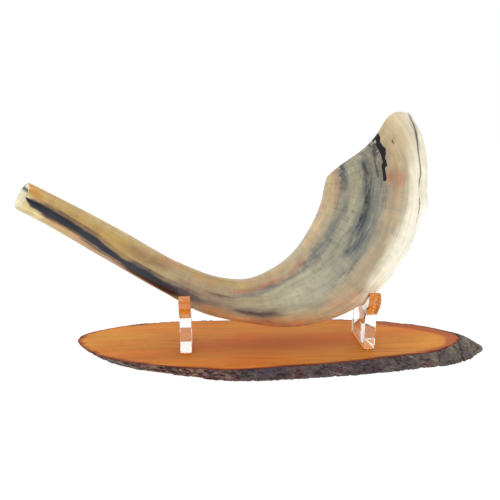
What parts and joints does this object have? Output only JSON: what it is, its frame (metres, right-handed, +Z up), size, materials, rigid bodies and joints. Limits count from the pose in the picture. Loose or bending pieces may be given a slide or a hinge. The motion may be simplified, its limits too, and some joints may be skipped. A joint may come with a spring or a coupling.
{
  "type": "shofar on display stand",
  "caption": "Curved ram's horn, bored as a trumpet, resting in clear forks on an oblique slice of a branch; the horn lifts off.",
  "frame": {"origin": "on the underside of the branch slice, midway between the two forks, in the plane that the horn curves in", "axes": "+X along the horn from its mouth to its bell, +Y away from the viewer who has the bell on the right, +Z up"},
  "size_m": [0.3402, 0.1072, 0.1763],
  "materials": {
    "horn": "natural horn, streaked and polished",
    "wood": "sawn and clear varnished",
    "bark": "rough bark",
    "acrylic": "clear, polished edges",
    "adhesive": "cured, whitish"
  },
  "bodies": {
    "stand": {"slab_wood": "wood", "slab_bark": "bark", "left_cradle": "acrylic", "right_cradle": "acrylic", "left_glue_bed": "adhesive", "right_glue_bed": "adhesive"},
    "horn": {"horn": "horn"}
  },
  "joints": [
    {"name": "horn_lift", "type": "slide", "parent": "stand", "child": "horn", "axis": [0, 0, 1], "range_m": [0, 0.06]}
  ]
}
